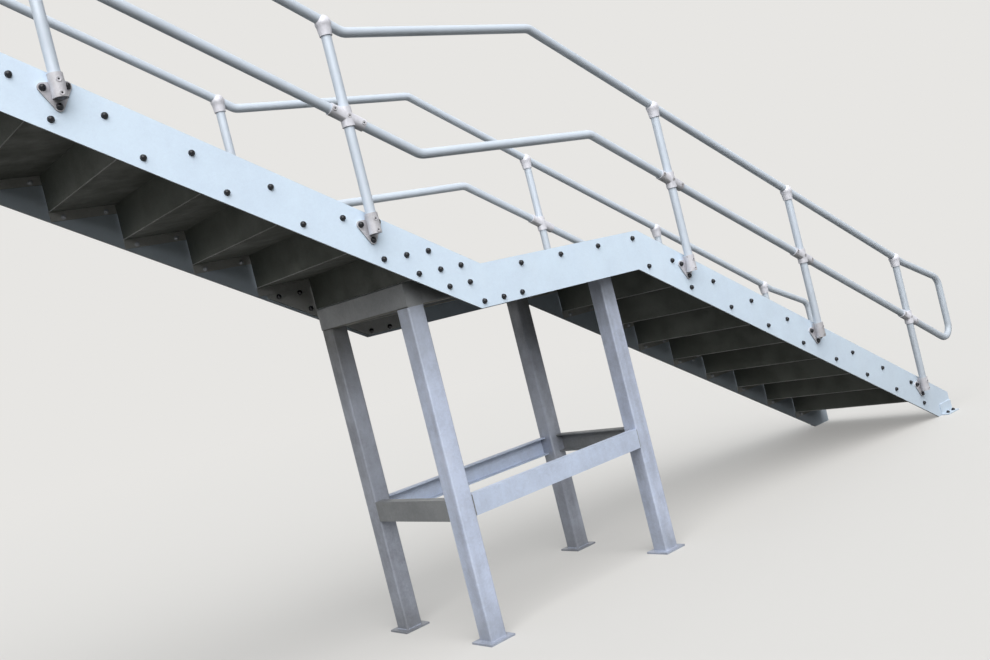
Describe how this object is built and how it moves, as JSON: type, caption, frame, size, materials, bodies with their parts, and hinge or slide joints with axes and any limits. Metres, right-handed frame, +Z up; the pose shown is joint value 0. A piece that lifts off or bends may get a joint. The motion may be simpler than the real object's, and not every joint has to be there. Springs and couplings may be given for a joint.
{
  "type": "fire escape stair tower",
  "caption": "Galvanised steel outdoor escape stair with folded treads, closed risers, level landings on braced square legs, and clamped tube handrails on both sides.",
  "frame": {"origin": "On the floor, on the stair's centre line, halfway along its overall length.", "axes": "+X runs along the stair toward its foot, +Y goes across it to the wall side, +Z is up."},
  "size_m": [9.1552, 1.2364, 4.8455],
  "materials": {
    "galvanised_steel": "dull weathered hot-dip galvanised coating with a faint spangle"
  },
  "bodies": {
    "root": {"stringer_near": "galvanised_steel", "stringer_far": "galvanised_steel", "splice_near": "galvanised_steel", "splice_far": "galvanised_steel", "treads_lower": "galvanised_steel", "risers_lower": "galvanised_steel", "treads_upper": "galvanised_steel", "risers_upper": "galvanised_steel", "landing_mid": "galvanised_steel", "landing_top": "galvanised_steel", "floor_cleats": "galvanised_steel", "beam_mid_left": "galvanised_steel", "beam_mid_right": "galvanised_steel", "beams_mid_long": "galvanised_steel", "beam_top_left": "galvanised_steel", "beam_top_right": "galvanised_steel", "beams_top_long": "galvanised_steel", "legs_mid_near": "galvanised_steel", "legs_mid_far": "galvanised_steel", "legs_top_near": "galvanised_steel", "legs_top_far": "galvanised_steel", "braces_mid_long": "galvanised_steel", "braces_mid_short": "galvanised_steel", "braces_top_long": "galvanised_steel", "braces_top_short": "galvanised_steel", "top_rail_near": "galvanised_steel", "top_rail_far": "galvanised_steel", "mid_rail_near": "galvanised_steel", "mid_rail_far": "galvanised_steel", "posts_near": "galvanised_steel", "posts_far": "galvanised_steel", "base_fittings_near": "galvanised_steel", "base_fittings_far": "galvanised_steel", "cross_fittings_near": "galvanised_steel", "cross_fittings_far": "galvanised_steel", "top_fittings_near": "galvanised_steel", "top_fittings_far": "galvanised_steel"}
  },
  "joints": []
}
